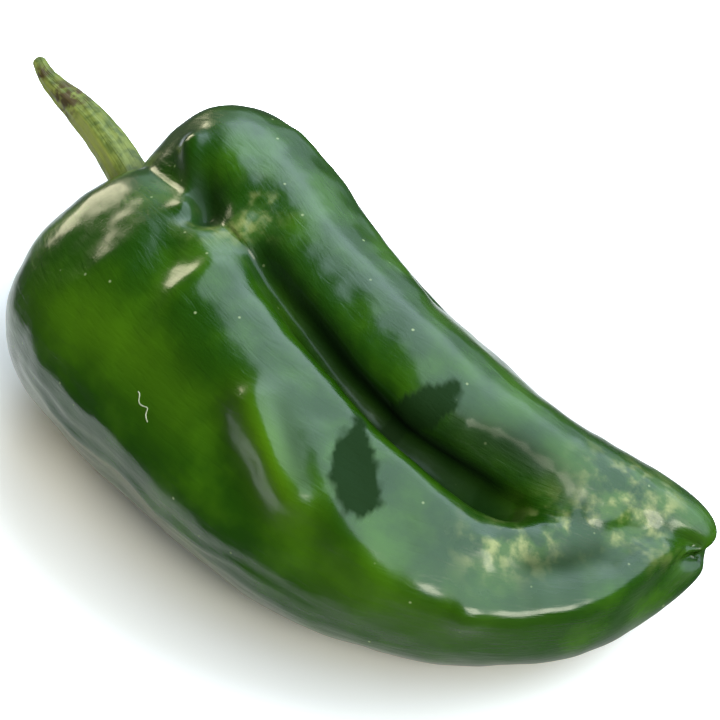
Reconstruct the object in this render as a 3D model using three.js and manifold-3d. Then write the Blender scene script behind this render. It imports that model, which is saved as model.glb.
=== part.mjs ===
// A fresh poblano chilli pepper, as picked and lying on its side.
// The fruit is one closed body with broad shoulders, a stem pit, a deep furrow between its two lobes
// and a blunt, curved tip. The calyx is a thick green cup in the pit, and the stem stands out of it.
//
// Millimetres, +Z up. The fruit's length runs along +X, with the stem end at low X. In a cross-section
// angle 0 is the back (+Y), 90 is the top, 180 is the front (-Y) and 270 is the underside.

import * as THREE from "three";
import { mergeVertices } from "three/addons/utils/BufferGeometryUtils.js";
import Module from "manifold-3d";

const wasm = await Module();
wasm.setup();

// Driving dimensions.
const GAP = 0.3; // clear space between pieces that touch
const CALYX_THICKNESS = 1.4; // at its rim
const HUB_X = 9.4; // where the calyx's hub ends and the stem begins
const OUTLINE_POWER = 2.3; // 2 is an ellipse, and more is boxier
const CENTRE_HEIGHT = 0.46; // a section's centre, as a share of its mean height
const UNDER_WIDTH = 30; // degrees, of the shallow groove along the underside

// How finely each piece is faceted.
const POD_AROUND = 48;
const POD_ALONG = 46;
const CALYX_AROUND = 40;
const CALYX_ALONG = 7;
const STEM_AROUND = 16;
const STEM_ALONG = 22;
const STEM_DOME = 3;

// The fruit's middle line seen from above: its Y at every SPINE_STEP along X.
const SPINE_START = -20;
const SPINE_STEP = 20;
const SPINE_Y = [7, 0, -7, -13.5, -18, -18.5, -13, -2, 12];

// Control rings, from the bottom of the stem pit, over the shoulders and along to the tip.
// x: place along the length. size: share of the full section. front, back: half widths.
// frontTop, backTop: heights of the two lobes. low: height of the underside.
// furrow, angle, width: depth share, direction and half width of the furrow, in degrees.
// under: depth share of the groove underneath.
// frontIn, backIn: how far each lobe is drawn back towards the stem, which staggers the lobes' ends.
const RING_COLUMNS = [
  "x", "size", "front", "back", "frontTop", "backTop", "low",
  "furrow", "angle", "width", "under", "frontIn", "backIn",
];
const RINGS = [
  [14, 0.0, 22, 22, 48, 48, 6, 0.08, 90, 30, 0.05, 0, 0],
  [14, 0.14, 22, 22, 48, 48, 6, 0.08, 90, 30, 0.05, 0, 0],
  [11, 0.3, 24, 24, 48, 48, 5, 0.14, 90, 30, 0.08, 0, 0],
  [4, 0.46, 30, 28, 44, 50, 5, 0.22, 90, 28, 0.1, 0, 0],
  [-1, 0.62, 32, 30, 42, 53, 1, 0.24, 90, 28, 0.12, 0, 2],
  [1, 0.84, 35, 31, 43, 57, -2, 0.22, 90, 28, 0.12, -1.2, 3],
  [9, 0.98, 36, 30, 44, 58, -3, 0.18, 94, 30, 0.12, -1, 1],
  [24, 1.02, 35.5, 28.5, 47, 53, -2.5, 0.18, 90, 26, 0.12, 0, 0],
  [42, 1.0, 34.5, 27, 48, 48, -2, 0.28, 90, 23, 0.12, 0, 0],
  [60, 1.0, 34, 24, 45, 45, -2, 0.38, 98, 22, 0.12, 0, 0],
  [76, 1.0, 31, 25, 38, 42, -2, 0.48, 106, 25, 0.1, 0, 0],
  [92, 1.0, 25, 20, 29, 37, -1, 0.4, 110, 28, 0.08, 0, 0],
  [106, 1.0, 17, 18, 24, 33, 1, 0.18, 100, 30, 0.08, 0, 0],
  [114, 0.88, 8, 17, 21, 30, 5, 0.14, 92, 26, 0.1, 2, 0],
  [118.5, 0.6, 5, 15, 19, 28, 10, 0.16, 92, 24, 0.1, 5, -2],
  [119.5, 0.28, 5, 12, 19, 25, 12, 0.16, 92, 24, 0.1, 4, -2],
  [117.5, 0.0, 5, 12, 19, 25, 12, 0.16, 92, 24, 0.1, 0, 0],
];
const FRONT_LOBE_END = { angle: 150, width: 45 };
const BACK_LOBE_END = { angle: 30, width: 45 };

// The calyx reaches from ring 0 of the pit to CALYX_RIM, and its edge has shallow points.
const CALYX_RIM = 2.2;
const CALYX_POINT = 0.35;
const CALYX_POINTS = 6;

// The stem's middle line after its first straight stretch, and its radius from the hub to the end.
const STEM_STRAIGHT = 5.5;
const STEM_BENDS = [
  [-3.5, 1.2, 32],
  [-12.8, 4.4, 35.2],
  [-20.6, 7, 35.4],
  [-28.7, 8.8, 35.6],
  [-31.0, 9.8, 37.7],
];
const STEM_RADII = [4.3, 3.8, 3.6, 3.2, 2.7, 1.8, 1.3];
const STEM_RIBS = { count: 5, share: 0.05 };

// A smooth curve through rows of numbers: a uniform cubic B-spline that ends on its first and last row.
function bspline(rows, t) {
  const last = rows.length - 1;
  const i = Math.min(Math.floor(t), last - 1);
  const f = t - i;
  const mirrored = (near, far) => near.map((value, k) => 2 * value - far[k]);
  const before = i > 0 ? rows[i - 1] : mirrored(rows[0], rows[1]);
  const after = i + 2 <= last ? rows[i + 2] : mirrored(rows[last], rows[last - 1]);
  const weights = [
    (1 - f) ** 3,
    3 * f ** 3 - 6 * f ** 2 + 4,
    -3 * f ** 3 + 3 * f ** 2 + 3 * f + 1,
    f ** 3,
  ];
  const four = [before, rows[i], rows[i + 1], after];
  return rows[0].map((_, k) => four.reduce((sum, row, n) => sum + weights[n] * row[k], 0) / 6);
}

// A bump of height 1 around a direction, which falls off over a number of degrees.
function bump(degrees, centre, width) {
  const away = THREE.MathUtils.euclideanModulo(degrees - centre + 180, 360) - 180;
  return Math.exp(-((away / width) ** 2));
}

// The middle line's Y at x, and its direction in plan.
function spineAt(x) {
  const rows = SPINE_Y.map((y) => [y]);
  const yAt = (where) => bspline(rows, (where - SPINE_START) / SPINE_STEP)[0];
  const slope = yAt(x + 0.5) - yAt(x - 0.5);
  return { y: yAt(x), along: new THREE.Vector2(1, slope).normalize() };
}

// The control values at place t along the rings, by name.
function ringAt(t) {
  const values = bspline(RINGS, t);
  return Object.fromEntries(RING_COLUMNS.map((name, k) => [name, values[k]]));
}

function sectionCentre(ring) {
  return ring.low + CENTRE_HEIGHT * ((ring.frontTop + ring.backTop) / 2 - ring.low);
}

// A point on the fruit's skin: place t along the rings, angle in degrees, pushed out of the pit by lift.
function skinPoint(t, degrees, lift = 0) {
  const ring = ringAt(t);
  const angle = THREE.MathUtils.degToRad(degrees);
  const across = Math.cos(angle);
  const up = Math.sin(angle);
  const frontShare = 0.5 - 0.5 * across;
  const centre = sectionCentre(ring);
  const halfWidth = THREE.MathUtils.lerp(ring.back, ring.front, frontShare);
  const above = THREE.MathUtils.lerp(ring.backTop, ring.frontTop, frontShare) - centre;
  const below = centre - ring.low;
  const halfHeight = (above + below) / 2 + ((above - below) / 2) * up;
  let radius = Math.abs(across / halfWidth) ** OUTLINE_POWER + Math.abs(up / halfHeight) ** OUTLINE_POWER;
  radius = radius ** (-1 / OUTLINE_POWER);
  radius *= 1 - ring.furrow * bump(degrees, ring.angle, ring.width);
  radius *= 1 - ring.under * bump(degrees, 270, UNDER_WIDTH);
  radius *= ring.size;
  const stagger =
    ring.frontIn * bump(degrees, FRONT_LOBE_END.angle, FRONT_LOBE_END.width) +
    ring.backIn * bump(degrees, BACK_LOBE_END.angle, BACK_LOBE_END.width);
  const back = stagger + lift;
  const { y, along } = spineAt(ring.x);
  return new THREE.Vector3(
    ring.x - along.y * radius * across - along.x * back,
    y + along.x * radius * across - along.y * back,
    centre + radius * up,
  );
}

// Closes rows of points into one body. The first and last rows are single points.
function loft(rows) {
  const around = rows[1].length;
  const points = [];
  const starts = rows.map((row) => {
    const start = points.length;
    points.push(...row);
    return start;
  });
  const index = [];
  for (let i = 0; i < rows.length - 1; i += 1) {
    for (let j = 0; j < around; j += 1) {
      const next = (j + 1) % around;
      const a = starts[i] + (rows[i].length === 1 ? 0 : j);
      const b = starts[i] + (rows[i].length === 1 ? 0 : next);
      const c = starts[i + 1] + (rows[i + 1].length === 1 ? 0 : j);
      const d = starts[i + 1] + (rows[i + 1].length === 1 ? 0 : next);
      if (a !== b) index.push(a, b, d);
      if (c !== d) index.push(a, d, c);
    }
  }
  const geometry = new THREE.BufferGeometry().setFromPoints(points);
  geometry.setIndex(index);
  return geometry;
}

function angles(count) {
  return Array.from({ length: count }, (_, j) => (j * 360) / count);
}

function toSolid(geometry) {
  const bare = geometry.clone();
  bare.deleteAttribute("normal");
  bare.deleteAttribute("uv");
  const merged = mergeVertices(bare);
  const vertProperties = new Float32Array(merged.attributes.position.array);
  const triVerts = new Uint32Array(merged.index.array);
  return new wasm.Manifold(new wasm.Mesh({ numProp: 3, vertProperties, triVerts }));
}

function fromSolid(solid) {
  const mesh = solid.getMesh();
  const geometry = new THREE.BufferGeometry();
  geometry.setAttribute("position", new THREE.BufferAttribute(mesh.vertProperties, 3));
  geometry.setIndex(new THREE.BufferAttribute(mesh.triVerts, 1));
  return geometry;
}

// The fruit. Its lobes are pressed a little flat where they rest, at height 0.
function podGeometry() {
  const last = RINGS.length - 1;
  const rows = [];
  for (let i = 0; i <= POD_ALONG; i += 1) {
    const t = (i / POD_ALONG) * last;
    const isEnd = i === 0 || i === POD_ALONG;
    rows.push(isEnd ? [skinPoint(t, 0)] : angles(POD_AROUND).map((degrees) => skinPoint(t, degrees)));
  }
  const whole = toSolid(loft(rows));
  const belowFloor = new THREE.BoxGeometry(400, 400, 40).translate(0, 0, -20);
  return fromSolid(whole.subtract(toSolid(belowFloor)));
}

// The calyx follows the pit's wall, a gap away, with a flat hub in the middle for the stem.
function calyxGeometry() {
  const underLift = 2 * GAP; // the wall slopes, so the clear space across it is less than this
  const rimAt = (degrees) =>
    CALYX_RIM + CALYX_POINT * Math.abs(Math.cos(THREE.MathUtils.degToRad((degrees * CALYX_POINTS) / 2)));
  const topLift = (t) => {
    const x = ringAt(t).x;
    return Math.max(underLift + CALYX_THICKNESS, (x - HUB_X) / spineAt(x).along.x);
  };
  const row = (share, lift) =>
    angles(CALYX_AROUND).map((degrees) => {
      const t = share * rimAt(degrees);
      return skinPoint(t, degrees, lift(t));
    });
  const rows = [[skinPoint(0, 0, topLift(0))]];
  for (let i = 1; i <= CALYX_ALONG; i += 1) rows.push(row(i / CALYX_ALONG, topLift));
  for (let i = CALYX_ALONG; i >= 1; i -= 1) rows.push(row(i / CALYX_ALONG, () => underLift));
  rows.push([skinPoint(0, 0, underLift)]);
  return loft(rows);
}

// The stem: it leaves the hub straight, rises out of the pit, bends up at its end and is rounded there.
function stemGeometry() {
  const pit = ringAt(0);
  const { along } = spineAt(HUB_X);
  const outward = new THREE.Vector3(-along.x, -along.y, 0);
  const start = new THREE.Vector3(HUB_X, spineAt(HUB_X).y, sectionCentre(pit)).addScaledVector(outward, GAP);
  const second = start.clone().addScaledVector(outward, STEM_STRAIGHT);
  const controls = [start.toArray(), second.toArray(), ...STEM_BENDS];
  const last = controls.length - 1;
  const pointAt = (t) => new THREE.Vector3(...bspline(controls, t));
  const radiusAt = (t) => bspline(STEM_RADII.map((radius) => [radius]), t)[0];
  const up = new THREE.Vector3(0, 0, 1);
  const ringOf = (centre, forward, radius) => {
    const side = new THREE.Vector3().crossVectors(up, forward).normalize();
    const over = new THREE.Vector3().crossVectors(forward, side);
    return angles(STEM_AROUND).map((degrees) => {
      const angle = THREE.MathUtils.degToRad(degrees);
      const ribbed = radius * (1 + STEM_RIBS.share * Math.cos(STEM_RIBS.count * angle));
      return centre
        .clone()
        .addScaledVector(side, ribbed * Math.cos(angle))
        .addScaledVector(over, ribbed * Math.sin(angle));
    });
  };
  const rows = [[start]];
  for (let i = 0; i <= STEM_ALONG; i += 1) {
    const t = (i / STEM_ALONG) * last;
    const forward = pointAt(Math.min(t + 0.01, last)).sub(pointAt(Math.max(t - 0.01, 0))).normalize();
    rows.push(ringOf(pointAt(t), forward, radiusAt(t)));
  }
  const end = pointAt(last);
  const endForward = end.clone().sub(pointAt(last - 0.01)).normalize();
  const endRadius = radiusAt(last);
  for (let i = 1; i < STEM_DOME; i += 1) {
    const tilt = (i / STEM_DOME) * (Math.PI / 2);
    const centre = end.clone().addScaledVector(endForward, endRadius * Math.sin(tilt));
    rows.push(ringOf(centre, endForward, endRadius * Math.cos(tilt)));
  }
  rows.push([end.clone().addScaledVector(endForward, endRadius)]);
  return loft(rows);
}

function piece(name, geometry, color, roughness) {
  const material = new THREE.MeshStandardMaterial({ color, roughness, metalness: 0 });
  const mesh = new THREE.Mesh(geometry, material);
  mesh.name = name;
  return mesh;
}

const pepper = new THREE.Group();
pepper.add(piece("pod", podGeometry(), 0x234f14, 0.25));
pepper.add(piece("calyx", calyxGeometry(), 0x5d7a2c, 0.6));
pepper.add(piece("stem", stemGeometry(), 0x6f7f35, 0.6));

// The origin is under the middle of the whole pepper's box, on the surface that it lies on.
const middle = new THREE.Box3().setFromObject(pepper).getCenter(new THREE.Vector3());
pepper.position.set(-middle.x, -middle.y, 0);

export default pepper;
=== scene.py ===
# %% [markdown]
# # A fresh poblano pepper
# A poblano is a broad, glossy, dark green chilli pepper. It lies on its side here, as picked, with the
# stem still on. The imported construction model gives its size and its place. This script builds the skin,
# the calyx and the stem again as fine meshes in the same place, and gives each one its finish.

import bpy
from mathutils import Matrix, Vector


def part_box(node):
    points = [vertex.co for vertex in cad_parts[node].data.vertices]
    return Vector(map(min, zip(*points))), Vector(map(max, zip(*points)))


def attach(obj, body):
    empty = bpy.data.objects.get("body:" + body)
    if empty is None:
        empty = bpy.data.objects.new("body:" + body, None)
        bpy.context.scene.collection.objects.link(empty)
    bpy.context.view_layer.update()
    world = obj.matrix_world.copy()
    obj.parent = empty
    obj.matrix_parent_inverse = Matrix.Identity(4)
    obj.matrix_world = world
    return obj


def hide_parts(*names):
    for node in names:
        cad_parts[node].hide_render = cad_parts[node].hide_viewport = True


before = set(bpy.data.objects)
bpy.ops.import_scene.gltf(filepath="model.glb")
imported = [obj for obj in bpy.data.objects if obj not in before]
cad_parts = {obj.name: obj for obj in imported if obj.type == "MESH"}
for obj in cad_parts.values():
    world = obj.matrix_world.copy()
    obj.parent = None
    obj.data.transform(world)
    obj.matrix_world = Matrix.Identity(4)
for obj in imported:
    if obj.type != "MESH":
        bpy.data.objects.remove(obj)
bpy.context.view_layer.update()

# %% Other modules, and the units
import math

import bpy
import numpy as np
from mathutils import Matrix, Vector, noise

MM = 0.001
print("full detail")

# %% [markdown]
# ## Smooth curves through a few values
# A fruit has no corners, so each of its measures should change smoothly along its length. Values could
# be joined by straight lines or by Bezier handles, but a glossy skin shows every kink in its bend as a
# kink in the reflections. A uniform cubic B-spline has none, and it needs only a short list of control
# values.


# %% A B-spline through rows of control values
def bspline(rows, places):
    """Values at places along the rows. Whole numbers are the rows, and the ends are hit exactly."""
    rows = np.asarray(rows, float)
    rows = rows.reshape(len(rows), -1)
    first = 2 * rows[:1] - rows[1:2]
    final = 2 * rows[-1:] - rows[-2:-1]
    padded = np.vstack([first, rows, final])
    places = np.asarray(places, float)
    i = np.clip(np.floor(places).astype(int), 0, len(rows) - 2)
    f = (places - i)[:, None]
    a, b, c, d = (padded[i + n] for n in range(4))
    total = (1 - f) ** 3 * a
    total = total + (3 * f**3 - 6 * f**2 + 4) * b
    total = total + (-3 * f**3 + 3 * f**2 + 3 * f + 1) * c
    total = total + f**3 * d
    return total / 6


print("halfway between 0 and 1:", bspline([0, 1], [0.5])[0, 0])

# %% [markdown]
# ## The fruit's shape
# The pod could be modelled by pushing a sphere about, but its long, smooth lobes are easier to control
# as a loft: a row of control rings from the bottom of the stem pit, over the shoulders and along to the
# tip. Each ring says how wide and how high the section is there, and how deep and in which direction the
# furrow runs. The sections stand square to a curved middle line, which gives the fruit its bend.

# %% Control rings and middle line, in millimetres
RING_COLUMNS = (
    "x size front back front_top back_top low furrow angle width crease under front_in back_in"
).split()
RINGS = [
    [14, 0.00, 22, 22, 48, 48, 6, 0.08, 90, 30, 0.00, 0.05, 0, 0],
    [14, 0.14, 22, 22, 48, 48, 6, 0.08, 90, 30, 0.00, 0.05, 0, 0],
    [11, 0.30, 24, 24, 48, 48, 5, 0.14, 90, 30, 0.04, 0.08, 0, 0],
    [4, 0.46, 30, 28, 44, 50, 5, 0.22, 90, 28, 0.06, 0.10, 0, 0],
    [-1, 0.62, 32, 30, 42, 53, 1, 0.24, 90, 28, 0.06, 0.12, 0, 2],
    [1, 0.84, 35, 31, 43, 57, -2, 0.22, 90, 28, 0.06, 0.12, -1.2, 3],
    [9, 0.98, 36, 30, 44, 58, -3, 0.18, 94, 30, 0.06, 0.12, -1, 1],
    [24, 1.02, 35.5, 28.5, 47, 53, -2.5, 0.18, 90, 26, 0.02, 0.12, 0, 0],
    [42, 1.00, 34.5, 27, 48, 48, -2, 0.28, 90, 23, 0.02, 0.12, 0, 0],
    [60, 1.00, 34, 24, 45, 45, -2, 0.38, 98, 22, 0.02, 0.12, 0, 0],
    [76, 1.00, 31, 25, 38, 42, -2, 0.48, 106, 25, 0.04, 0.10, 0, 0],
    [92, 1.00, 25, 20, 29, 37, -1, 0.40, 110, 28, 0.01, 0.08, 0, 0],
    [106, 1.00, 17, 18, 24, 33, 1, 0.18, 100, 30, 0.00, 0.08, 0, 0],
    [114, 0.88, 8, 17, 21, 30, 5, 0.14, 92, 26, 0.03, 0.10, 2, 0],
    [118.5, 0.60, 5, 15, 19, 28, 10, 0.16, 92, 24, 0.08, 0.10, 5, -2],
    [119.5, 0.28, 5, 12, 19, 25, 12, 0.16, 92, 24, 0.08, 0.10, 4, -2],
    [117.5, 0.00, 5, 12, 19, 25, 12, 0.16, 92, 24, 0.08, 0.10, 0, 0],
]
SPINE_START = -20
SPINE_STEP = 20
SPINE_Y = [7, 0, -7, -13.5, -18, -18.5, -13, -2, 12]
OUTLINE_POWER = 2.3
CENTRE_HEIGHT = 0.46
CREASE_WIDTH = 7
CREASE_POWER = 1.5
UNDERSIDE = 270
UNDER_WIDTH = 30
FRONT_SHOULDER = 150
BACK_SHOULDER = 30
SHOULDER_WIDTH = 45


def spine(x):
    """The middle line's Y at x, and the two parts of its direction in plan."""
    def y_at(where):
        return bspline(SPINE_Y, (where - SPINE_START) / SPINE_STEP)[:, 0]

    slope = y_at(x + 0.5) - y_at(x - 0.5)
    length = np.sqrt(1 + slope**2)
    return y_at(x), 1 / length, slope / length


def turn_between(degrees, centre):
    """How far a direction is from another, from -180 to 180 degrees."""
    return (degrees - centre + 180) % 360 - 180


def bump(degrees, centre, width):
    """A hump of height 1 around a direction."""
    return np.exp(-((turn_between(degrees, centre) / width) ** 2))


print(len(RINGS), "control rings with", len(RING_COLUMNS), "measures each")


# %% A point on the skin for each place and direction
def skin_points(places, degrees):
    """Points in millimetres for arrays of places along the rings and directions in degrees."""
    shape = np.broadcast_shapes(np.shape(places), np.shape(degrees))
    place = np.broadcast_to(places, shape).ravel()
    angle = np.broadcast_to(degrees, shape).ravel()
    ring = dict(zip(RING_COLUMNS, bspline(RINGS, place).T))
    across = np.cos(np.radians(angle))
    up = np.sin(np.radians(angle))
    front_share = 0.5 - 0.5 * across
    centre = ring["low"] + CENTRE_HEIGHT * ((ring["front_top"] + ring["back_top"]) / 2 - ring["low"])
    half_width = ring["back"] + (ring["front"] - ring["back"]) * front_share
    above = ring["back_top"] + (ring["front_top"] - ring["back_top"]) * front_share - centre
    below = centre - ring["low"]
    half_height = (above + below) / 2 + (above - below) / 2 * up
    radius = np.abs(across / half_width) ** OUTLINE_POWER + np.abs(up / half_height) ** OUTLINE_POWER
    radius = radius ** (-1 / OUTLINE_POWER)
    furrow = ring["furrow"] * bump(angle, ring["angle"], ring["width"])
    crease = np.exp(-np.abs(turn_between(angle, ring["angle"]) / CREASE_WIDTH) ** CREASE_POWER)
    radius = radius * (1 - furrow - ring["crease"] * crease)
    radius = radius * (1 - ring["under"] * bump(angle, UNDERSIDE, UNDER_WIDTH)) * ring["size"]
    back = ring["front_in"] * bump(angle, FRONT_SHOULDER, SHOULDER_WIDTH)
    back = back + ring["back_in"] * bump(angle, BACK_SHOULDER, SHOULDER_WIDTH)
    y, along_x, along_y = spine(ring["x"])
    points = np.stack([
        ring["x"] - along_y * radius * across - along_x * back,
        y + along_x * radius * across - along_y * back,
        centre + radius * up,
    ], axis=-1)
    return points.reshape(shape + (3,))


print("tip at x =", round(float(skin_points(16.0, 0.0)[0]), 1), "mm")

# %% [markdown]
# ## The grid of the skin
# The rings are not evenly spaced, so faces made at even steps between them would be long in one place
# and short in another. A remesh would even them out, but it would lose the order of the rows. Here the
# places are spread again by the distance walked along the skin.

# %% Even steps along the skin
POD_ALONG = 340
POD_AROUND = 280
SPREAD_STEPS = 1200


def even_places(count):
    """Places along the rings at even distances over the two shoulders."""
    fine = np.linspace(0, len(RINGS) - 1, SPREAD_STEPS)
    profiles = [skin_points(fine, direction) for direction in (BACK_SHOULDER, FRONT_SHOULDER)]
    steps = sum(np.linalg.norm(np.diff(p, axis=0), axis=1) for p in profiles)
    walked = np.concatenate([[0], np.cumsum(steps)])
    return np.interp(np.linspace(0, walked[-1], count), walked, fine)


pod_places = even_places(POD_ALONG)
pod_degrees = np.arange(POD_AROUND) * 360 / POD_AROUND
pod_points = skin_points(pod_places[:, None], pod_degrees[None, :])
print("pod grid", pod_points.shape)

# %% [markdown]
# ## Sculpting by strokes
# A grown fruit is never as even as its rings. Its folds, dents and bulges could be pushed in with a
# sculpting brush, but then nobody could read or change them. Here each one is a stroke: a short path
# over the skin, how wide it is, and how far it lifts or presses the skin. A stroke's edge is soft, like
# a thumb in clay.

# %% Strokes: a width, and a path of (place along the rings, direction in degrees, height), in millimetres
STROKES = {
    "front face": (12, [
        (6.6, 142, -1.2), (7.4, 144, -2.8), (8.3, 146, -3.8), (9.0, 152, -3.2), (9.6, 162, -1.2)]),
    "furrow cut": (2.8, [
        (7.6, 88, -1.6), (8.2, 90, -3.2), (8.8, 94, -4.4), (9.3, 99, -5.0), (9.7, 104, -5.0),
        (10.1, 105, -5.0), (10.5, 107, -4.6), (10.9, 110, -2.5)]),
    "front crest": (4.6, [
        (7.7, 104, 0.5), (8.3, 105, 1.0), (8.9, 109, 2.0), (9.4, 116, 2.2), (9.9, 123, 2.2),
        (10.4, 128, 2.0), (10.8, 136, 1.2)]),
    "lobe edge": (3.8, [
        (9.3, 130, 0.8), (9.6, 140, 1.2), (9.9, 151, 1.4), (10.3, 159, 1.5), (10.9, 163, 1.2)]),
    "side bulge": (4.0, [(8.75, 134, 2.2), (9.1, 142, 3.8), (9.4, 149, 3.2)]),
    "hollow left of bulge": (4.5, [(8.5, 142, -0.7), (8.8, 154, -0.7)]),
    "shoulder trough": (4.6, [
        (7.3, 127, -1.0), (7.2, 120, -1.2), (7.05, 110, -1.5), (6.95, 94, -1.2), (6.9, 84, -0.2)]),
    "buttress": (3.8, [(7.5, 122, 1.2), (7.5, 108, 1.7), (7.4, 88, 1.1), (7.3, 76, 0.3)]),
    "furrow bridge": (4.5, [(7.1, 104, 2.4), (7.15, 88, 2.4)]),
    "stem fold": (2.4, [(6.0, 78, 1.6), (6.35, 86, 1.6), (6.65, 96, 1.6)]),
    "pocket": (2.8, [(6.35, 84, -0.8), (6.6, 88, -1.8), (6.85, 92, -1.8)]),
    "shoulder fill": (4.5, [(6.0, 72, 0.8), (6.4, 76, 1.4), (6.8, 76, 1.2)]),
    "back lobe": (8, [
        (7.4, 68, 1.0), (8.2, 70, 1.8), (9.0, 70, 2.4), (9.8, 70, 2.6), (10.6, 72, 2.4), (11.3, 76, 1.4)]),
    "back brink": (4.6, [(7.7, 80, 1.6), (8.3, 81, 2.8), (9.0, 83, 3.4), (9.6, 84, 3.4), (10.2, 83, 2.2)]),
    "back groove": (2.6, [(6.4, 36, -0.8), (7.2, 32, -0.8), (8.0, 33, -0.8), (8.8, 40, -0.8)]),
    "back ridge": (2.6, [(6.4, 43, 0.6), (7.1, 39, 0.6), (8.0, 41, 0.6), (8.8, 50, 0.6)]),
    "valley floor": (4.0, [(11.15, 128, 1.2), (11.5, 117, 1.2), (11.8, 100, 1.0)]),
    "tip ridge": (3.3, [
        (10.9, 164, 1.0), (11.3, 163, 1.7), (11.8, 157, 1.9), (12.3, 146, 1.9), (12.8, 130, 1.6),
        (13.2, 118, 1.0)]),
    "tip hollow": (4.0, [(11.0, 148, -1.0), (11.5, 140, -1.7), (12.1, 124, -1.7), (12.6, 108, -1.2)]),
    "tip crease": (2.2, [(13.2, 90, -0.8), (13.8, 98, -1.4), (14.3, 105, -1.4), (14.7, 112, -0.6)]),
}
STROKE_SAMPLES = 24


def spread_path(path, samples):
    """A path's places, directions and last values, each at even steps between its corners."""
    corners = np.array(path, float)
    walk = np.linspace(0, len(corners) - 1, samples)
    return [np.interp(walk, np.arange(len(corners)), column) for column in corners.T]


def stroke_lift(points, width, path):
    """How far a stroke lifts each point: full on its path, and fading to nothing at the sides."""
    place, direction, height = spread_path(path, STROKE_SAMPLES)
    line = skin_points(place, direction)
    nearest = np.full(len(points), np.inf)
    lift = np.zeros(len(points))
    for a, b, lift_a, lift_b in zip(line[:-1], line[1:], height[:-1], height[1:]):
        span = b - a
        along = np.clip(((points - a) @ span) / max(span @ span, 1e-9), 0, 1)
        gap = np.linalg.norm(points - a - along[:, None] * span, axis=1)
        closer = gap < nearest
        nearest[closer] = gap[closer]
        lift[closer] = (lift_a + (lift_b - lift_a) * along)[closer]
    return lift * np.exp(-((nearest / width) ** 2))


def grid_normals(points):
    """Unit normals of a grid that closes on itself around."""
    around = np.roll(points, -1, axis=1) - np.roll(points, 1, axis=1)
    along = np.gradient(points, axis=0)
    normals = np.cross(around, along)
    return normals / np.maximum(np.linalg.norm(normals, axis=-1, keepdims=True), 1e-9)


plain_flat = pod_points.reshape(-1, 3)
lift = np.zeros(len(plain_flat))
for width, path in STROKES.values():
    lift += stroke_lift(plain_flat, width, path)
pod_points = pod_points + grid_normals(pod_points) * lift.reshape(pod_points.shape[:2] + (1,))
print(len(STROKES), "strokes lift the skin from", round(lift.min(), 2), "to", round(lift.max(), 2), "mm")

# %% [markdown]
# ## Where the finish and the painted light change
# Near the tip and on the saddle by the stem the skin is dull, with pale patches that are partly cork and
# partly painted highlight. The bulge and two bands on the front are a lighter green. Deep places by the
# furrow, and a few others, are painted darker as painted shade, and two leaf-shaped patches at its side
# are painted dark reflections. A painted map could say where all this is, but it would need an unwrapped
# skin. Strokes say it as well: here the last value of a corner is how strong the patch is, and in a leaf
# it is the half width.

# %% Patches of finish and painted light: dull and pale, lighter green, painted shade, leaf-shaped dark reflections
# dull skin, with pale patches that are partly cork and partly painted highlight
DULL_STROKES = [
    (4.5, [(10.9, 138, 0.9), (11.2, 132, 1.0), (11.5, 112, 1.0), (11.9, 98, 0.9), (12.5, 92, 0.8)]),
    (4.6, [(11.8, 72, 0.5), (12.3, 68, 0.9), (12.7, 72, 0.9), (12.7, 86, 0.8)]),
    (4.0, [(7.0, 96, 0.5), (7.25, 84, 0.7), (7.2, 74, 0.5)]),
]
# painted shade: darker skin without wax deep in the furrow, in the pocket by the stem, in the tip hollow,
# on the back lobe's wall and beside the bulge
PAINTED_SHADE_STROKES = [
    (4.4, [(9.75, 96, 0.9), (10.2, 97, 0.95), (10.5, 99, 0.9), (10.8, 105, 0.6)]),
    (3.0, [(7.6, 83, 0.6), (8.3, 86, 0.85), (8.9, 89, 0.9), (9.4, 93, 0.85)]),
    (2.6, [(6.3, 84, 0.5), (6.6, 88, 0.9), (6.85, 92, 0.7)]),
    (2.2, [(11.3, 140, 0.7), (11.6, 135, 0.8), (11.95, 124, 0.6)]),
    (2.6, [(10.2, 82, 0.5), (10.45, 81, 0.8), (10.8, 79, 0.8), (11.1, 79, 0.7), (11.4, 83, 0.5)]),
    (1.8, [(8.95, 128, 0.3), (9.2, 135, 0.5), (9.45, 143, 0.4)]),
]
# a lighter green over the bulge and two bands on the front
LIGHTER_GREEN_STROKES = [
    (5.0, [(8.7, 133, 0.5), (9.0, 141, 0.9), (9.3, 149, 0.9), (9.5, 153, 0.5)]),
    (7.0, [(9.9, 166, 0.3), (10.6, 170, 0.3), (11.4, 168, 0.1)]),
    (7.0, [(6.3, 158, 0.3), (7.0, 150, 0.6), (7.7, 146, 0.5), (8.2, 150, 0.4)]),
]
# painted dark reflections: two leaf-shaped patches in the furrow, where each lobe mirrors the other
DARK_REFLECTION_LEAVES = [
    [(9.45, 104, 0.6), (9.62, 93, 2.4), (9.8, 85, 3.0), (9.95, 79, 2.2), (10.07, 73, 0.2)],
    [(9.4, 117, 0.5), (9.5, 123, 2.0), (9.6, 129, 3.4), (9.72, 134, 4.2), (9.84, 139, 3.6)],
]
LEAF_SAMPLES = 30
LEAF_EDGE = 0.45
RAGGED = 1.1
RAGGED_SIZE = 1.6
RAGGED_REACH = 3


def smooth_noise(points, offset):
    """Noise from about -1 to 1 for each point. The offset picks another part of the same noise."""
    return np.array([noise.noise(Vector(p) + offset) for p in points.tolist()])


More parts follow.
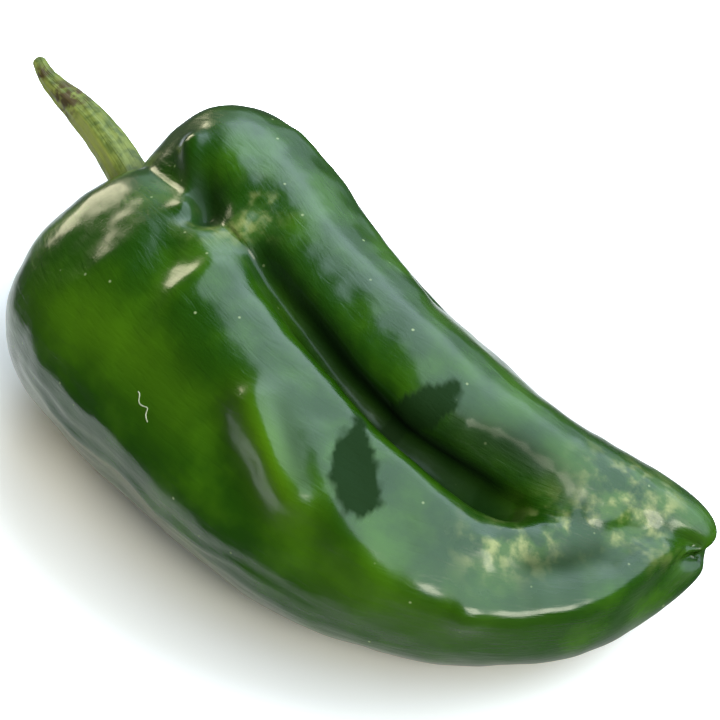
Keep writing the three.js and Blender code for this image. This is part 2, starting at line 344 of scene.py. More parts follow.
def leaf_mask(points, path):
    """1 inside a leaf and 0 outside, with a ragged soft edge."""
    place, direction, half_width = spread_path(path, LEAF_SAMPLES)
    middle = skin_points(place, direction)
    gaps = (np.linalg.norm(points[:, None] - middle[None], axis=-1) - half_width).min(1)
    near = gaps < RAGGED_REACH
    gaps[near] += RAGGED * smooth_noise(points[near] / RAGGED_SIZE, Vector((4, 1, 6)))
    return np.clip(0.5 - gaps / (2 * LEAF_EDGE), 0, 1)


def soft_mask(strokes):
    """From 0 to 1 over the skin, strongest along the strokes."""
    return np.clip(sum(stroke_lift(plain_flat, width, path) for width, path in strokes), 0, 1)


dull = soft_mask(DULL_STROKES)
lighter_green = soft_mask(LIGHTER_GREEN_STROKES)
shade = np.clip(soft_mask(PAINTED_SHADE_STROKES) + sum(leaf_mask(plain_flat, path) for path in DARK_REFLECTION_LEAVES), 0, 1)
print("dull skin on", round(float((dull > 0.5).mean()) * 100, 1), "% and shade on",
      round(float((shade > 0.5).mean()) * 100, 1), "% of the points")

# %% [markdown]
# ## Lumps and wrinkles
# Between the big folds the skin is gently uneven, and low on the sides it has fine wrinkles that run
# along the fruit. A bump map would fake them only until the outline is seen, so they are real. Both are
# smooth noise, which never repeats. The wrinkles come from noise that is stretched along the fruit, and
# they fade out towards the top, where the skin is tight. The corky skin has small lumps of its own.

# %% Lumps, wrinkles and cork, in millimetres
LUMPS = ((15, 0.55), (7, 0.25), (3.2, 0.09))
WRINKLE_LENGTH = 26
WRINKLE_SPACING = 2.2
WRINKLE_HEIGHT = 0.75
CORK_SIZE = 2.4
CORK_HEIGHT = 0.25
MEAN_RADIUS = 28
MEAN_RING_STEP = 14
WANDER_SIZE = 9
WANDER = 0.8
FRONT_WRINKLES = (188, 26, 1.0)
BACK_WRINKLES = (24, 14, 0.8)
BODY_START = 5.5
BODY_END = 10.8
TIP_START = 14
FADE = 1.5
LONG_FADE = 2
FLOOR_GAP = 0.02

flat_points = pod_points.reshape(-1, 3)
lumps = np.zeros(len(flat_points))
for number, (size, height) in enumerate(LUMPS):
    lumps += height * smooth_noise(flat_points / size, Vector((3.1 * number, 7.7, 1.3)))
place_grid, degree_grid = np.meshgrid(pod_places, pod_degrees, indexing="ij")
arc = np.radians(degree_grid) * MEAN_RADIUS
along = place_grid * MEAN_RING_STEP / WRINKLE_LENGTH
stretched = np.stack([along, arc / WRINKLE_SPACING, 0 * arc], -1).reshape(-1, 3)
stretched[:, 1] += WANDER * smooth_noise(flat_points / WANDER_SIZE, Vector((0, 0, 9)))
places = place_grid.ravel()
low_side = sum(share * np.exp(-(((degree_grid.ravel() - centre) / width) ** 2))
               for centre, width, share in (FRONT_WRINKLES, BACK_WRINKLES))
on_body = np.clip((places - BODY_START) / FADE, 0, 1) * np.clip((BODY_END - places) / LONG_FADE, 0, 1)
before_tip = np.clip((TIP_START - places) / FADE, 0, 1)
wrinkles = WRINKLE_HEIGHT * smooth_noise(stretched, Vector((5, 2, 4))) * np.clip(low_side, 0, 1) * on_body
cork = CORK_HEIGHT * smooth_noise(flat_points / CORK_SIZE, Vector((2, 8, 5))) * dull
lift = ((lumps + wrinkles + cork) * before_tip).reshape(pod_points.shape[:2])
pod_points = pod_points + grid_normals(pod_points) * lift[..., None]
pod_points[..., 2] = np.maximum(pod_points[..., 2], FLOOR_GAP)
print("lumps and wrinkles lift the skin from", round(lift.min(), 2), "to", round(lift.max(), 2), "mm")

# %% The place of the rings' own origin in the frame
pod_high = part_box("pod")[1]
ORIGIN = np.array([pod_high.x - plain_flat[:, 0].max() * MM, pod_high.y - plain_flat[:, 1].max() * MM, 0])
print("origin of the rings", ORIGIN.round(4))

# %% [markdown]
# ## From rows of points to a mesh
# The pod, the stem, the calyx and the scratch are all rings of points, one after the other. Curves with
# a bevel or a screw modifier could join rings, but only round ones. One function joins any of them into
# a closed mesh. It also stores each point's place as if the piece were straight and round, so that grain
# can follow its length.


# %% A closed mesh from rows of points
def ring_faces(count, around):
    """Quads between the rows, and triangles from the two end points, which come last in the list."""
    i, j = np.meshgrid(np.arange(count - 1), np.arange(around), indexing="ij")
    k = (j + 1) % around
    quads = np.stack([i * around + j, i * around + k, (i + 1) * around + k, (i + 1) * around + j], -1)
    ring = np.arange(around)
    following = (ring + 1) % around
    start = np.full(around, count * around)
    last_row = (count - 1) * around
    start_cap = np.stack([start, following, ring], -1)
    end_cap = np.stack([start + 1, last_row + ring, last_row + following], -1)
    return quads.reshape(-1, 4).tolist() + np.vstack([start_cap, end_cap]).tolist()


def straight_places(rows):
    """Where each point would be on a straight round bar, with the rows' two end points last."""
    count, around = rows.shape[:2]
    middle = rows.mean(1)
    girth = np.linalg.norm(rows - middle[:, None], axis=-1).mean(1).max()
    walked = np.concatenate([[0], np.cumsum(np.linalg.norm(np.diff(middle, axis=0), axis=1))])
    turn = 2 * math.pi * np.arange(around) / around
    straight = np.empty((count, around, 3))
    straight[..., 0] = girth * np.cos(turn)
    straight[..., 1] = girth * np.sin(turn)
    straight[..., 2] = walked[:, None]
    return np.vstack([straight.reshape(-1, 3), [[0, 0, walked[0]], [0, 0, walked[-1]]]])


def loft(name, rows, start=None, end=None):
    """An object from rows of points, each a closed ring, with one point added to close each end."""
    start = rows[0].mean(0) if start is None else start
    end = rows[-1].mean(0) if end is None else end
    vertices = np.vstack([rows.reshape(-1, 3), [start], [end]])
    mesh = bpy.data.meshes.new(name)
    mesh.from_pydata((vertices * MM + ORIGIN).tolist(), [], ring_faces(*rows.shape[:2]))
    mesh.polygons.foreach_set("use_smooth", np.ones(len(mesh.polygons), bool))
    mesh.update()
    grain_places = mesh.attributes.new("grain", "FLOAT_VECTOR", "POINT")
    grain_places.data.foreach_set("vector", (straight_places(rows) * MM).ravel())
    piece = bpy.data.objects.new(name, mesh)
    bpy.context.scene.collection.objects.link(piece)
    print(name, len(mesh.vertices), "points and", len(mesh.polygons), "faces")
    return piece


# %% The pod
def store_mask(piece, name, grid):
    """A mask from the grid's rows, without its first and last, and the two end points."""
    values = np.concatenate([grid[1:-1].ravel(), [grid[0, 0], grid[-1, 0]]])
    piece.data.attributes.new(name, "FLOAT", "POINT").data.foreach_set("value", values)


pod = loft("pod_skin", pod_points[1:-1], pod_points[0, 0], pod_points[-1, 0])
for name, mask in (("dull", dull), ("shade", shade), ("lighter_green", lighter_green)):
    store_mask(pod, name, mask.reshape(pod_points.shape[:2]))
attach(pod, "root")
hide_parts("pod")

# %% [markdown]
# ## The stem
# The stem is a tapered, faintly ribbed stalk with a slightly bent end. A curve with a bevel would make a
# plain pipe, so the stem is lofted too, which lets its ribs, its swellings and its rounded end be shaped
# ring by ring.

# %% The stalk's middle line and its thickness, in millimetres
STEM_START = skin_points(0.0, 0.0) + np.array([-5, 1.65, 0])
STEM_LINE = [
    STEM_START,
    STEM_START + np.array([-5.2, 1.8, 0]),
    [-3.5, 1.2, 32],
    [-12.8, 4.4, 35.2],
    [-20.6, 7, 35.4],
    [-28.7, 8.8, 35.6],
    [-31.0, 9.8, 37.7],
]
STEM_RADII = [4.6, 3.8, 3.6, 3.2, 2.7, 1.8, 1.3]
STEM_ALONG = 120
STEM_AROUND = 64
STEM_DOME = 10


def tube_rows(line, radii, along, around, dome, profile):
    """Rings of points along a smooth line, rounded at the far end. profile(t, angle) scales the radius."""
    last = len(line) - 1
    places = np.linspace(0, last, along)
    centres = bspline(line, places)
    forward = bspline(line, np.minimum(places + 0.01, last)) - bspline(line, np.maximum(places - 0.01, 0))
    sizes = bspline(radii, places)[:, 0]
    tilt = np.linspace(0, math.pi / 2, dome + 1)[1:-1]
    tip = forward[-1] / np.linalg.norm(forward[-1])
    centres = np.vstack([centres, centres[-1] + tip * (sizes[-1] * np.sin(tilt))[:, None]])
    forward = np.vstack([forward, np.repeat(forward[-1:], len(tilt), 0)])
    sizes = np.concatenate([sizes, sizes[-1] * np.cos(tilt)])
    places = np.concatenate([places, np.full(len(tilt), last)])
    forward /= np.linalg.norm(forward, axis=1, keepdims=True)
    side = np.cross([0, 0, 1], forward)
    side /= np.linalg.norm(side, axis=1, keepdims=True)
    over = np.cross(forward, side)
    angle = np.arange(around) * 2 * math.pi / around
    radius = sizes[:, None] * profile(places[:, None], angle[None, :])
    ring = side[:, None] * np.cos(angle)[None, :, None] + over[:, None] * np.sin(angle)[None, :, None]
    return centres[:, None] + ring * radius[..., None]


# %% The stalk, with faint ribs and small swellings
SWELLINGS = ((4.5, 0.14, (1, 5, 2)), (1.6, 0.08, (8, 1, 6)))


def stem_profile(place, angle):
    """Five soft ribs and some finer ones, which fade out in the cup."""
    ribs = 0.045 * np.cos(5 * angle + 0.5 * place) + 0.02 * np.cos(11 * angle - place)
    return 1 + ribs * np.clip(place / 2, 0, 1)


stem_rows = tube_rows(STEM_LINE, STEM_RADII, STEM_ALONG, STEM_AROUND, STEM_DOME, stem_profile)
flat_stem = stem_rows.reshape(-1, 3)
uneven = sum(height * smooth_noise(flat_stem / size, Vector(offset)) for size, height, offset in SWELLINGS)
stem_rows = stem_rows + grid_normals(stem_rows) * uneven.reshape(stem_rows.shape[:2] + (1,))
stem = loft("stem_stalk", stem_rows)
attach(stem, "root")
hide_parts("stem")

# %% [markdown]
# ## A scratch
# Fruit that has brushed against a leaf or a crate has small dry scars. A scar could be drawn in the
# skin's colour, but it is much finer than the mesh, and it stands a little proud. So it is a very thin
# tube that lies on the skin, along a few points of the pod's own mesh.

# %% Scratch mesh
SCRATCH = [
    (7.84, 154), (7.88, 154.5), (7.90, 157), (7.95, 156.6), (8.0, 155.6), (8.01, 157.5), (8.05, 159.5)]
SCRATCH_RADIUS = 0.11
SCRATCH_LIFT = 0.02
SCRATCH_ALONG = 60
SCRATCH_AROUND = 8
SCRATCH_DOME = 3


def round_profile(place, angle):
    """No ribs: the same radius all around."""
    return np.ones(np.broadcast_shapes(place.shape, angle.shape))


skin_normals = grid_normals(pod_points).reshape(-1, 3)
scratch_line = []
for place, direction in SCRATCH:
    nearest = np.linalg.norm(plain_flat - skin_points(place, direction), axis=1).argmin()
    scratch_line.append(pod_points.reshape(-1, 3)[nearest] + SCRATCH_LIFT * skin_normals[nearest])
scratch_radii = [SCRATCH_RADIUS] * len(SCRATCH)
scratch = loft("skin_scratch", tube_rows(
    scratch_line, scratch_radii, SCRATCH_ALONG, SCRATCH_AROUND, SCRATCH_DOME, round_profile))
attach(scratch, "root")
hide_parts("pod")

# %% [markdown]
# ## The calyx
# The calyx is the green cup that the stalk grows out of. A cut and scaled sphere could stand for it, but
# it has to sit close in the stem pit. So its rows follow the pit's own rings, a little way off the skin,
# with a soft collar around the stalk and a wavy rim.

# %% Calyx
CALYX_RIM = 2.35
CALYX_WAVE = 0.3
CALYX_AROUND = 120
CALYX_ROWS = 22
CALYX_GAP = 0.1
CALYX_THICKNESS = 1.5
COLLAR_HEIGHT = 3.2
COLLAR_SHARE = 0.62
RIM_THINNING = 0.9
calyx_angle = np.arange(CALYX_AROUND) * 360 / CALYX_AROUND
rim = CALYX_RIM + CALYX_WAVE * np.abs(np.cos(np.radians(calyx_angle * 3))) ** 1.5


def calyx_row(share, height):
    """A row over the pit: share is 0 at the stalk and 1 at the rim, and height is how far it stands off."""
    points = skin_points(share * rim, calyx_angle)
    points[:, 0] -= height
    return points


def calyx_height(share):
    collar = COLLAR_HEIGHT * np.exp(-((share / COLLAR_SHARE) ** 4))
    return CALYX_THICKNESS + collar - RIM_THINNING * share**6


shares = np.linspace(0.04, 1, CALYX_ROWS)
outer = [calyx_row(share, calyx_height(share)) for share in shares]
inner = [calyx_row(share, CALYX_GAP) for share in shares[::-1]]
calyx = loft("calyx_cup", np.array(outer + inner))
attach(calyx, "root")
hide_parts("calyx")

# %% [markdown]
# ## Effects that the materials share
# Pepper skin, stem and calyx are all plant skin: their colour drifts from place to place, and they have
# a fine grain that runs along the fruit. A picture could be wrapped round them, but noise has no seams
# and no end, and it can be made as fine as the skin is. Each effect is a node group, so that one set of
# nodes serves them all.


# %% Helpers for shader nodes
def add_node(tree, kind, settings=None, inputs=None):
    """A node with its settings, and its inputs set to values or linked to sockets."""
    node = tree.nodes.new("ShaderNode" + kind)
    for name, value in (settings or {}).items():
        setattr(node, name, value)
    for key, value in (inputs or {}).items():
        if isinstance(value, bpy.types.NodeSocket):
            tree.links.new(value, node.inputs[key])
        else:
            node.inputs[key].default_value = value
    return node


def new_group(name, inputs, outputs):
    """A node group with named sockets. Each is a pair of a name and a kind of socket."""
    tree = bpy.data.node_groups.new(name, "ShaderNodeTree")
    for direction, sockets in (("INPUT", inputs), ("OUTPUT", outputs)):
        for label, kind in sockets:
            tree.interface.new_socket(label, in_out=direction, socket_type="NodeSocket" + kind)
    return tree, tree.nodes.new("NodeGroupInput").outputs, tree.nodes.new("NodeGroupOutput").inputs


def place_group(tree, group, **inputs):
    """The group as a node, with underlines in the input names read as spaces."""
    node = tree.nodes.new("ShaderNodeGroup")
    node.node_tree = group
    for key, value in inputs.items():
        key = key.replace("_", " ")
        if isinstance(value, bpy.types.NodeSocket):
            tree.links.new(value, node.inputs[key])
        else:
            node.inputs[key].default_value = value
    return node.outputs


# %% Group: colour that drifts between two tones
mottle, given, result = new_group(
    "drifting colour",
    [("Point", "Vector"), ("Size", "Float"), ("Low", "Float"), ("High", "Float"), ("Base", "Color"),
     ("Drift", "Color")],
    [("Color", "Color"), ("Mask", "Float")],
)
frequency = add_node(mottle, "Math", {"operation": "DIVIDE"}, {0: 1.0, 1: given["Size"]})
cloud = add_node(mottle, "TexNoise", {}, {
    "Vector": given["Point"], "Scale": frequency.outputs[0], "Detail": 4.0})
share = add_node(mottle, "MapRange", {"interpolation_type": "SMOOTHSTEP"}, {
    "Value": cloud.outputs["Fac"], "From Min": given["Low"], "From Max": given["High"]})
tone = add_node(mottle, "Mix", {"data_type": "RGBA"}, {
    0: share.outputs[0], 6: given["Base"], 7: given["Drift"]})
mottle.links.new(tone.outputs[2], result["Color"])
mottle.links.new(share.outputs[0], result["Mask"])

# %% Group: grain that runs along the fruit
grain, given, result = new_group(
    "grain along the fruit",
    [("Point", "Vector"), ("Spacing", "Float"), ("Stretch", "Float")],
    [("Height", "Float")],
)
stretch = add_node(grain, "CombineXYZ", {}, {0: 1.0, 1: 1.0})
along = add_node(grain, "Math", {"operation": "DIVIDE"}, {0: 1.0, 1: given["Stretch"]})
grain.links.new(along.outputs[0], stretch.inputs[2])
squeezed = add_node(grain, "VectorMath", {"operation": "MULTIPLY"}, {
    0: given["Point"], 1: stretch.outputs[0]})
frequency = add_node(grain, "Math", {"operation": "DIVIDE"}, {0: 1.0, 1: given["Spacing"]})
fibres = add_node(grain, "TexNoise", {}, {
    "Vector": squeezed.outputs[0], "Scale": frequency.outputs[0], "Detail": 3.0, "Distortion": 0.6})
grain.links.new(fibres.outputs["Fac"], result["Height"])

# %% Group: scattered specks
specks, given, result = new_group(
    "scattered specks",
    [("Point", "Vector"), ("Spacing", "Float"), ("Size", "Float"), ("Share", "Float")],
    [("Mask", "Float")],
)
frequency = add_node(specks, "Math", {"operation": "DIVIDE"}, {0: 1.0, 1: given["Spacing"]})
cells = add_node(specks, "TexVoronoi", {}, {"Vector": given["Point"], "Scale": frequency.outputs[0]})
reach = add_node(specks, "Math", {"operation": "DIVIDE"}, {0: given["Size"], 1: given["Spacing"]})
dot = add_node(specks, "MapRange", {}, {
    "Value": cells.outputs["Distance"], "From Min": reach.outputs[0], "From Max": 0.0})
pick = add_node(specks, "SeparateXYZ", {}, {0: cells.outputs["Color"]})
chosen = add_node(specks, "Math", {"operation": "LESS_THAN"}, {0: pick.outputs[0], 1: given["Share"]})
both = add_node(specks, "Math", {"operation": "MULTIPLY"}, {0: dot.outputs[0], 1: chosen.outputs[0]})
specks.links.new(both.outputs[0], result["Mask"])
print("groups", [group.name for group in bpy.data.node_groups])

# %% Helpers for materials
BLACK = (0, 0, 0, 1)
WHITE = (1, 1, 1, 1)


def new_material(name):
    """A material, its node tree and its shader."""
    material = bpy.data.materials.new(name)
    material.use_nodes = True
    return material, material.node_tree, material.node_tree.nodes["Principled BSDF"]


def stored_point(tree, name):
    return add_node(tree, "Attribute", {"attribute_name": name}).outputs["Vector"]


def stored_mask(tree, name):
    return add_node(tree, "Attribute", {"attribute_name": name}).outputs["Fac"]


def blend(tree, share, first, second):
    """A colour between two others."""
    return add_node(tree, "Mix", {"data_type": "RGBA"}, {0: share, 6: first, 7: second}).outputs[2]


def both_masks(tree, first, second):
    return add_node(tree, "Math", {"operation": "MULTIPLY"}, {0: first, 1: second}).outputs[0]


def scale_and_add(tree, value, factor, base):
    return add_node(tree, "Math", {"operation": "MULTIPLY_ADD"}, {0: value, 1: factor, 2: base}).outputs[0]


def relief_from(tree, height, distance, below=None):
    """A normal from a height. The distance is how far full height stands up, in metres."""
    inputs = {"Strength": 1.0, "Distance": distance, "Height": height}
    if below is not None:
        inputs["Normal"] = below
    return add_node(tree, "Bump", {}, inputs).outputs[0]


print("material helpers ready")

# %% [markdown]
# ## The skin
# Pepper skin is deep green flesh under a clear waxy layer, so most of its look is reflection. One glossy
# layer could give that, but the painted shade and the painted dark reflections must mirror little. So the
# skin has a plain gloss with the grain in it, and a smooth clear coat over that, which the stored shade
# mask takes away, and there the colour is painted dark. The green drifts to a yellower tone in soft
# blotches, tiny pale specks sit in it, and the tip is patchy with cork and painted highlight flecks.

# %% Skin colours
SKIN_GREEN = (0.014, 0.062, 0.001, 1)
SKIN_YOUNG_GREEN = (0.045, 0.135, 0.002, 1)
BULGE_GREEN = (0.085, 0.20, 0.003, 1)
CORK_GREEN = (0.06, 0.14, 0.012, 1)
CORK_PALE_AND_HIGHLIGHT = (0.36, 0.38, 0.12, 1)
SPECK_PALE = (0.46, 0.54, 0.24, 1)
PAINTED_SHADE_GREEN = (0.005, 0.028, 0.0005, 1)

skin, tree, shader = new_material("skin")
spot = add_node(tree, "TexCoord").outputs["Object"]
blotches = place_group(tree, mottle, Point=spot, Size=0.011, Low=0.40, High=0.76,
                       Base=SKIN_GREEN, Drift=SKIN_YOUNG_GREEN)
cork_and_highlight_tones = place_group(tree, mottle, Point=spot, Size=0.0028, Low=0.42, High=0.66,
                         Base=CORK_GREEN, Drift=CORK_PALE_AND_HIGHLIGHT)
patchy = place_group(tree, mottle, Point=spot, Size=0.0055, Low=0.40, High=0.58, Base=BLACK, Drift=WHITE)
dots = place_group(tree, specks, Point=spot, Spacing=0.0045, Size=0.00034, Share=0.9)
cork_and_highlight_share = both_masks(tree, stored_mask(tree, "dull"), patchy["Mask"])
shade_mask = stored_mask(tree, "shade")
color = blend(tree, stored_mask(tree, "lighter_green"), blotches["Color"], BULGE_GREEN)
# dull patches drift to pale tones that are partly cork and partly painted highlight flecks
color = blend(tree, cork_and_highlight_share, color, cork_and_highlight_tones["Color"])
color = blend(tree, dots["Mask"], color, SPECK_PALE)
# painted shade: the shade mask darkens the colour deep in the furrow and paints the two leaf-shaped dark
# reflections
color = blend(tree, shade_mask, color, PAINTED_SHADE_GREEN)
tree.links.new(color, shader.inputs["Base Color"])
print("skin has", len(tree.nodes), "nodes for its colour")

# %% Skin gloss and relief
SKIN_ROUGHNESS = 0.27
SHADE_ROUGHNESS = 0.5
CORK_ROUGHNESS = 0.2
WAX = 0.7
THREAD_HEIGHT = 0.00016
PORE_HEIGHT = 0.00003

walk = stored_point(tree, "grain")
threads = place_group(tree, grain, Point=walk, Spacing=0.0011, Stretch=4.0)
pores = place_group(tree, grain, Point=walk, Spacing=0.0004, Stretch=1.0)
pore_relief = relief_from(tree, pores["Height"], PORE_HEIGHT)
relief = relief_from(tree, threads["Height"], THREAD_HEIGHT, pore_relief)
tree.links.new(relief, shader.inputs["Normal"])
sheltered = scale_and_add(tree, shade_mask, SHADE_ROUGHNESS, SKIN_ROUGHNESS)
rough = scale_and_add(tree, cork_and_highlight_share, CORK_ROUGHNESS, sheltered)
tree.links.new(rough, shader.inputs["Roughness"])
tree.links.new(scale_and_add(tree, shade_mask, -WAX, WAX), shader.inputs["Coat Weight"])
shader.inputs["Coat Roughness"].default_value = 0.16
shader.inputs["Coat IOR"].default_value = 1.5
shader.inputs["Specular IOR Level"].default_value = 0.22
pod.data.materials.append(skin)
print("skin has", len(tree.nodes), "nodes in all")

# %% [markdown]
# ## The scratch's finish
# A scar is dry and pale, and it has no wax. A plain pale colour would look like a thread laid on the
# fruit, so it drifts between two tones, at a size that is small enough for so thin a piece.

# %% Scratch finish
scar, tree, shader = new_material("dry scratch")
spot = add_node(tree, "TexCoord").outputs["Object"]
tones = place_group(tree, mottle, Point=spot, Size=0.0008, Low=0.40, High=0.60,
                    Base=(0.42, 0.46, 0.26, 1), Drift=(0.62, 0.62, 0.42, 1))
tree.links.new(tones["Color"], shader.inputs["Base Color"])
shader.inputs["Roughness"].default_value = 0.7
scratch.data.materials.append(scar)
print("dry scratch has", len(tree.nodes), "nodes")

# %% [markdown]
# ## The stem's finish
# One side of the stalk is painted pale and yellow as painted light, and the other side is painted darker
# and more mottled as painted shade. It has two brown blemishes. A vertex colour could hold them, but its
# edge would be as coarse as the mesh. So the lit and shaded sides come from the way that the surface
# faces, and a blemish is all that is near a point, with an edge broken up by noise.

# %% The stalk's painted lit and shaded sides
STEM_LIT_TOWARD = tuple(Vector((-0.38, -1.18, -0.68)).normalized())

stalk, tree, shader = new_material("stem")
spot = add_node(tree, "TexCoord").outputs["Object"]
lit_side = place_group(tree, mottle, Point=spot, Size=0.0022, Low=0.45, High=0.80,
                        Base=(0.42, 0.46, 0.08, 1), Drift=(0.22, 0.29, 0.03, 1))
shaded_side = place_group(tree, mottle, Point=spot, Size=0.0018, Low=0.38, High=0.66,
                        Base=(0.23, 0.27, 0.04, 1), Drift=(0.10, 0.14, 0.018, 1))
# painted light and shade: the stalk is painted pale on the side that faces the direction above, and darker
# on its far side
normal = add_node(tree, "NewGeometry").outputs["Normal"]
toward_light = add_node(tree, "VectorMath", {"operation": "DOT_PRODUCT"}, {0: normal, 1: STEM_LIT_TOWARD})
pale = add_node(tree, "MapRange", {"interpolation_type": "SMOOTHSTEP"}, {
    "Value": toward_light.outputs["Value"], "From Min": -0.1, "From Max": 0.5})
color = blend(tree, pale.outputs[0], shaded_side["Color"], lit_side["Color"])
print("pale side of the stem faces", [round(part, 2) for part in STEM_LIT_TOWARD])

# %% The stalk's blemishes: a centre, and how far each reaches in metres
STEM_BLEMISHES = [((-21.4, 5.9, 37.5), 0.0058), ((-29.2, 8.2, 37.0), 0.0024)]
BLEMISH_BROWN = (0.085, 0.055, 0.012, 1)
BLEMISH_CORE = 0.4

for centre, reach in STEM_BLEMISHES:
    blemish_centre = tuple(np.array(centre) * MM + ORIGIN)
    gap = add_node(tree, "VectorMath", {"operation": "DISTANCE"}, {0: spot, 1: blemish_centre})
    near = add_node(tree, "MapRange", {}, {
        "Value": gap.outputs["Value"], "From Min": reach, "From Max": reach * BLEMISH_CORE})
    ragged = place_group(tree, mottle, Point=spot, Size=0.0016, Low=0.38, High=0.58,
                         Base=BLACK, Drift=WHITE)
    color = blend(tree, both_masks(tree, near.outputs[0], ragged["Mask"]), color, BLEMISH_BROWN)
tree.links.new(color, shader.inputs["Base Color"])
threads = place_group(tree, grain, Point=stored_point(tree, "grain"), Spacing=0.0009, Stretch=8.0)
tree.links.new(relief_from(tree, threads["Height"], 0.00025), shader.inputs["Normal"])
shader.inputs["Roughness"].default_value = 0.5
stem.data.materials.append(stalk)
print("stem has", len(STEM_BLEMISHES), "blemishes and", len(tree.nodes), "nodes")

# %% [markdown]
# ## The calyx's finish
# The cup is leaf green, with less wax than the skin and less cork than the stalk. The same two groups
# serve it, with values between those of its neighbours.

# %% Calyx finish
cup, tree, shader = new_material("calyx")
spot = add_node(tree, "TexCoord").outputs["Object"]
blotches = place_group(tree, mottle, Point=spot, Size=0.003, Low=0.40, High=0.70,
                       Base=(0.11, 0.19, 0.03, 1), Drift=(0.05, 0.11, 0.012, 1))
tree.links.new(blotches["Color"], shader.inputs["Base Color"])
threads = place_group(tree, grain, Point=stored_point(tree, "grain"), Spacing=0.0012, Stretch=4.0)
tree.links.new(relief_from(tree, threads["Height"], 0.0002), shader.inputs["Normal"])
shader.inputs["Roughness"].default_value = 0.42
calyx.data.materials.append(cup)
print("calyx has", len(tree.nodes), "nodes")

# %% [markdown]
# ## The floor
# Food is often set on white paper that ends soon, so that its glossy sides have both something bright
# and something dark to mirror. A small sheet on a dark table would show its edge. Here one wide floor is
# white when it is looked at, and in the gloss only the paper near the fruit is bright. The paper that is
# looked at is painted darker near the fruit and brighter away from it, a painted shade that keeps the
# shadow close to it.

# %% Floor mesh
FLOOR_HALF = 3
mesh = bpy.data.meshes.new("floor")
corners = [(x * FLOOR_HALF, y * FLOOR_HALF, 0) for x, y in ((-1, -1), (1, -1), (1, 1), (-1, 1))]
mesh.from_pydata(corners, [], [(0, 1, 2, 3)])
floor = bpy.data.objects.new("floor", mesh)
bpy.context.scene.collection.objects.link(floor)
print("floor", 2 * FLOOR_HALF, "m wide")

# %% Floor finish
PAPER_HALF_LENGTH = 0.105
PAPER_HALF_WIDTH = 0.08
MIRRORED_CENTRE = (-0.4, 0.0, 0.0)
MIRRORED_FADE = (0.75, 1.3)
MIRRORED_NEAR = 0.9
MIRRORED_FAR = 0.05
SEEN_FADE = (0.55, 1.0)
SEEN_NEAR = 1.1
SEEN_FAR = 3.0
BOUNCED = 0.6
PAPER_TINT = (0.97, 0.92, 0.86)


def paper_fade(tree, distance, fade, near, far):
    """A brightness that changes smoothly with the distance from the paper's middle."""
    return add_node(tree, "MapRange", {"interpolation_type": "SMOOTHSTEP"}, {
        "Value": distance, "From Min": fade[0], "From Max": fade[1], "To Min": near, "To Max": far,
    }).outputs[0]


white, tree, shader = new_material("white_floor")
shader.inputs["Roughness"].default_value = 1
shader.inputs["Specular IOR Level"].default_value = 0
light_path = add_node(tree, "LightPath")
spot = add_node(tree, "TexCoord").outputs["Object"]
shrunk = add_node(tree, "VectorMath", {"operation": "DIVIDE"}, {
    0: spot, 1: (PAPER_HALF_LENGTH, PAPER_HALF_WIDTH, 1)}).outputs[0]
away = add_node(tree, "VectorMath", {"operation": "LENGTH"}, {0: shrunk}).outputs["Value"]
moved = add_node(tree, "VectorMath", {"operation": "DISTANCE"}, {
    0: shrunk, 1: MIRRORED_CENTRE}).outputs["Value"]
mirrored = paper_fade(tree, moved, MIRRORED_FADE, MIRRORED_NEAR, MIRRORED_FAR)
lit = paper_fade(tree, away, SEEN_FADE, SEEN_NEAR, SEEN_FAR)
seen = add_node(tree, "Mix", {"data_type": "FLOAT"}, {
    0: light_path.outputs["Is Camera Ray"], 2: BOUNCED, 3: lit})
paper = add_node(tree, "Mix", {"data_type": "FLOAT"}, {
    0: light_path.outputs["Is Glossy Ray"], 2: seen.outputs[0], 3: mirrored})
tinted = add_node(tree, "VectorMath", {"operation": "SCALE"}, {0: PAPER_TINT, "Scale": paper.outputs[0]})
tree.links.new(tinted.outputs[0], shader.inputs["Base Color"])
mesh.materials.append(white)
print("bright paper", PAPER_HALF_LENGTH * 2, "by", PAPER_HALF_WIDTH * 2, "m")

# %% [markdown]
# ## The sky
# A glossy fruit is lit as much by what it mirrors as by lamps. The main light is one large cool panel
# high over the back and the right, with a soft edge, and a dim glow stands low at the back. The front
# and the left are dark, which makes the front lobe deep green. Area lamps could do this, but a sky can
# be as large and as soft as it likes, and it casts no hard shadow. The camera sees plain white instead.

# %% Sky
SKY_TOWARD = 50
BACK_GLOW_TOWARD = -8
BACK_GLOW_HEIGHT = 12
PANEL_EDGE = (-0.05, 0.11)
PANEL_FOOT = (0.25, 0.50)
GLOW_EDGE = (0.70, 0.95)
SKY_RADIANCE = 2.5
GLOW_RADIANCE = 0.8
ROOM_RADIANCE = 0.03
SKY_TINT = (0.78, 0.95, 1.15)


def toward_direction(azimuth, elevation):
    """A direction from an azimuth, from +Y towards +X, and an elevation, in degrees."""
    a, e = math.radians(azimuth), math.radians(elevation)
    return Vector((math.sin(a) * math.cos(e), math.cos(a) * math.cos(e), math.sin(e)))


def facing_step(tree, direction, target, edge):
    """0 where a direction faces away from the target and 1 where it faces it, with a soft edge."""
    facing = add_node(tree, "VectorMath", {"operation": "DOT_PRODUCT"}, {0: direction, 1: target})
    return add_node(tree, "MapRange", {"interpolation_type": "SMOOTHSTEP"}, {
        "Value": facing.outputs["Value"], "From Min": edge[0], "From Max": edge[1]}).outputs[0]


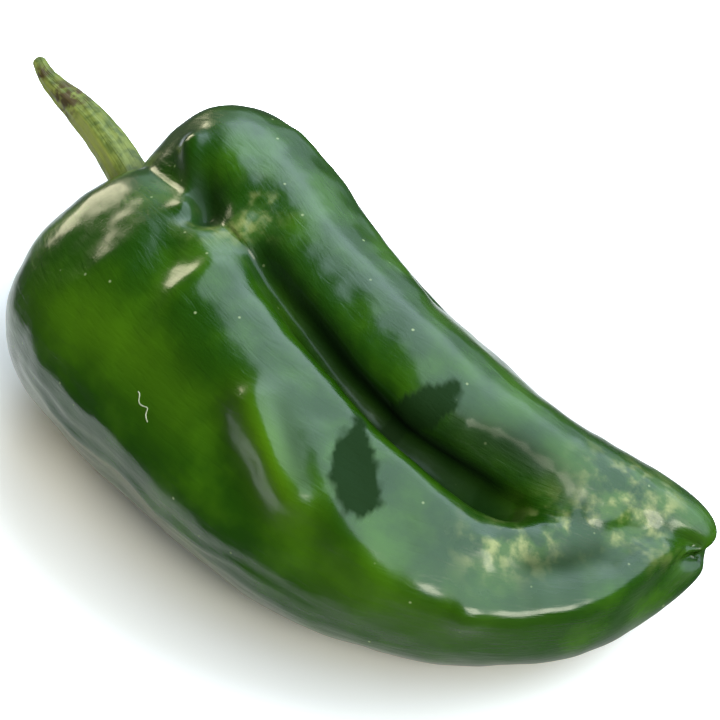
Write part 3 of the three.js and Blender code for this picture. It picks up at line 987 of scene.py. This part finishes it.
world = bpy.data.worlds.new("studio")
world.use_nodes = True
tree = world.node_tree
direction = add_node(tree, "TexCoord").outputs["Generated"]
panel_side = facing_step(tree, direction, toward_direction(SKY_TOWARD, 0), PANEL_EDGE)
panel_foot = facing_step(tree, direction, (0, 0, 1), PANEL_FOOT)
glow = facing_step(tree, direction, toward_direction(BACK_GLOW_TOWARD, BACK_GLOW_HEIGHT), GLOW_EDGE)
bright = scale_and_add(tree, both_masks(tree, panel_side, panel_foot), SKY_RADIANCE, ROOM_RADIANCE)
total = scale_and_add(tree, glow, GLOW_RADIANCE, bright)
tint = add_node(tree, "VectorMath", {"operation": "SCALE"}, {0: SKY_TINT, "Scale": total})
light_path = add_node(tree, "LightPath")
shown = add_node(tree, "Mix", {"data_type": "VECTOR"}, {
    0: light_path.outputs["Is Camera Ray"], 4: tint.outputs[0], 5: (1.0, 1.0, 1.0)})
tree.links.new(shown.outputs[1], tree.nodes["Background"].inputs["Color"])
bpy.context.scene.world = world
bpy.context.scene.view_settings.view_transform = "Standard"
print("sky with", len(tree.nodes), "nodes")

# %% [markdown]
# ## Two warm windows
# Sunny windows give the fruit its small cream highlights. They could be bright patches in the sky, but
# small patches make a noisy picture. Area lamps are sampled well, and their size and place are easy to
# read.

# %% Warm windows, low on the left and at the right front
AIM = Vector(ORIGIN) + Vector((60, -10, 20)) * MM
LIGHT_DISTANCE = 0.9


def window_light(name, azimuth, elevation, width, height, radiance, color):
    """A rectangular light that faces the fruit. The sizes are in metres."""
    toward = toward_direction(azimuth, elevation)
    light = bpy.data.lights.new(name, "AREA")
    light.shape = "RECTANGLE"
    light.size = width
    light.size_y = height
    light.energy = radiance * math.pi * width * height
    light.color = color
    lamp = bpy.data.objects.new(name, light)
    lamp.location = AIM + toward * LIGHT_DISTANCE
    lamp.rotation_euler = toward.to_track_quat("Z", "Y").to_euler()
    bpy.context.scene.collection.objects.link(lamp)
    print(name, "at", [round(part, 2) for part in lamp.location], round(light.energy, 2), "W")


window_light("warm_low_left", -68, 14, 0.48, 0.34, 6, (1.0, 0.92, 0.66))
window_light("warm_right", 118, 36, 0.34, 0.40, 9, (1.0, 0.95, 0.74))

# %% [markdown]
# ## The camera
# The fruit is seen from its front and from well above. A short lens close by would swell the near lobe,
# so the lens is long, and the camera is aimed by its own right, up and back directions.

# %% Camera
AZIMUTH = math.radians(36)
ELEVATION = math.radians(47)
DISTANCE = 0.5
LENS = 147.5
ASIDE = -0.00407
ABOVE = 0.00915
right = Vector((math.cos(AZIMUTH), math.sin(AZIMUTH), 0))
lean = math.sin(ELEVATION)
upward = Vector((-math.sin(AZIMUTH) * lean, math.cos(AZIMUTH) * lean, math.cos(ELEVATION)))
backward = right.cross(upward)
camera_data = bpy.data.cameras.new("camera")
camera_data.lens = LENS
camera_data.clip_start = 0.01
camera = bpy.data.objects.new("camera", camera_data)
camera.location = AIM + right * ASIDE + upward * ABOVE + backward * DISTANCE
camera.rotation_euler = Matrix((right, upward, backward)).transposed().to_euler()
bpy.context.scene.collection.objects.link(camera)
bpy.context.scene.camera = camera
print("camera at", [round(part, 3) for part in camera.location])
